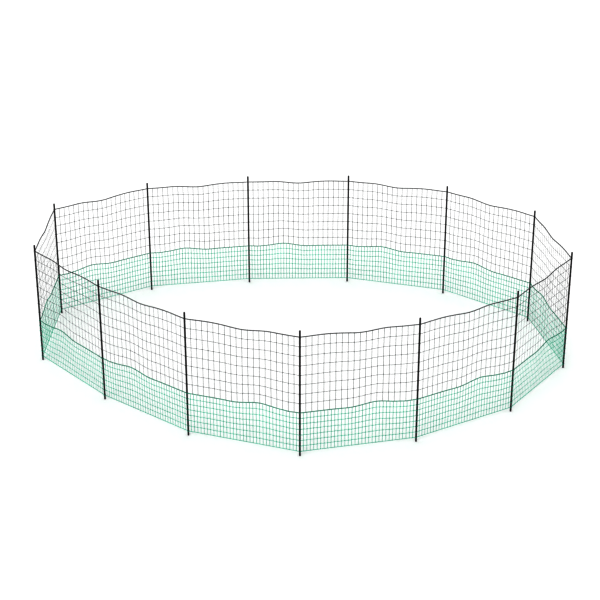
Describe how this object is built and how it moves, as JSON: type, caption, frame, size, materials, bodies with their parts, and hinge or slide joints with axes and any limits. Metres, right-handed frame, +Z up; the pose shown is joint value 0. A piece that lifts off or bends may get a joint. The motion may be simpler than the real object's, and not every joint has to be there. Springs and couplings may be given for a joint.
{
  "type": "fence netting",
  "caption": "Closed ring of soft open-mesh fence netting held up by thin upright rods, wide mesh above and close green mesh below.",
  "frame": {"origin": "middle of the ring's plan, at the level of the post feet", "axes": "+Z up, +X along the ring's long way, -Y towards the side that the picture sees in front"},
  "size_m": [4.7925, 3.4897, 1.1495],
  "materials": {
    "post": "black drawn rod with a dull sheen",
    "upper_net": "twisted black and grey plastic twine",
    "lower_net": "twisted green plastic twine"
  },
  "bodies": {
    "root": {"post_01": "post", "post_02": "post", "post_03": "post", "post_04": "post", "post_05": "post", "post_06": "post", "post_07": "post", "post_08": "post", "post_09": "post", "post_10": "post", "post_11": "post", "post_12": "post", "post_13": "post", "upper_net_01": "upper_net", "upper_net_02": "upper_net", "upper_net_03": "upper_net", "upper_net_04": "upper_net", "upper_net_05": "upper_net", "upper_net_06": "upper_net", "upper_net_07": "upper_net", "upper_net_08": "upper_net", "upper_net_09": "upper_net", "upper_net_10": "upper_net", "upper_net_11": "upper_net", "upper_net_12": "upper_net", "upper_net_13": "upper_net", "lower_net_01": "lower_net", "lower_net_02": "lower_net", "lower_net_03": "lower_net", "lower_net_04": "lower_net", "lower_net_05": "lower_net", "lower_net_06": "lower_net", "lower_net_07": "lower_net", "lower_net_08": "lower_net", "lower_net_09": "lower_net", "lower_net_10": "lower_net", "lower_net_11": "lower_net", "lower_net_12": "lower_net", "lower_net_13": "lower_net"}
  },
  "joints": []
}
